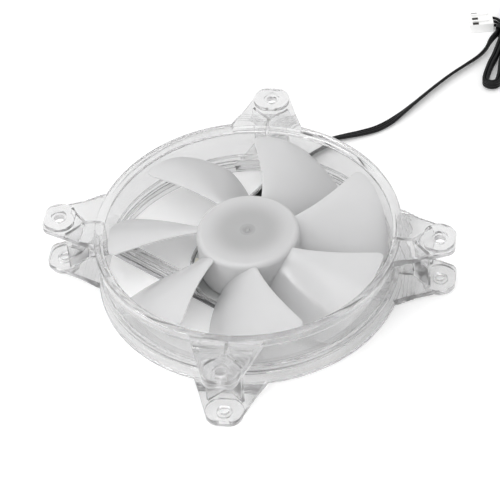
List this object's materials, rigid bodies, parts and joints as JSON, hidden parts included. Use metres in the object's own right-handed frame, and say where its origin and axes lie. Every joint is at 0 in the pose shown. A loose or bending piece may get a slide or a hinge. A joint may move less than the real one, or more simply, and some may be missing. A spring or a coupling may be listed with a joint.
{
  "type": "case fan",
  "caption": "Clear case fan with a frosted impeller on a hub motor, round rim with stepped screw ears, and a flat black cable with its connector.",
  "frame": {"origin": "centre of the frame's rear face, on the rotor's axis", "axes": "+Z along the rotor's axis out of the intake; X and Y along the sides of the square that the screw ears fill"},
  "size_m": [0.2514, 0.12, 0.025],
  "materials": {
    "clear_plastic": "clear, polished",
    "frosted_plastic": "frosted, translucent",
    "steel": "plated",
    "laminations": "stacked sheet",
    "enamelled_copper": "enamelled copper wire",
    "brass": "turned",
    "sintered_bronze": "sintered, oiled",
    "ferrite": "bonded ferrite",
    "circuit_board": "solder mask",
    "led_package": "moulded package",
    "black_vinyl": "satin insulation",
    "moulding_compound": "matt epoxy",
    "natural_nylon": "natural nylon",
    "label_film": "silvered film"
  },
  "bodies": {
    "frame": {"clear_frame": "clear_plastic", "rear_label": "label_film", "bearing_tube": "brass", "thrust_cap": "steel", "sleeve_bearing": "sintered_bronze", "oil_seal": "black_vinyl", "retaining_clip": "steel", "motor_board": "circuit_board", "led_1": "led_package", "led_2": "led_package", "led_3": "led_package", "led_4": "led_package", "driver_chip": "moulding_compound", "stator_core": "laminations", "insulator_lower": "natural_nylon", "insulator_upper": "natural_nylon", "coil_1": "enamelled_copper", "coil_2": "enamelled_copper", "coil_3": "enamelled_copper", "coil_4": "enamelled_copper", "motor_lead": "black_vinyl", "cable_run": "black_vinyl", "cable_hank": "black_vinyl", "cable_tie": "black_vinyl", "connector": "natural_nylon"},
    "rotor": {"impeller": "frosted_plastic", "rotor_yoke": "steel", "ring_magnet": "ferrite", "rotor_shaft": "steel"}
  },
  "joints": [
    {"name": "rotor_spin", "type": "hinge", "parent": "frame", "child": "rotor", "pos_m": [0, 0, 0], "axis": [0, 0, 1], "continuous": true}
  ]
}
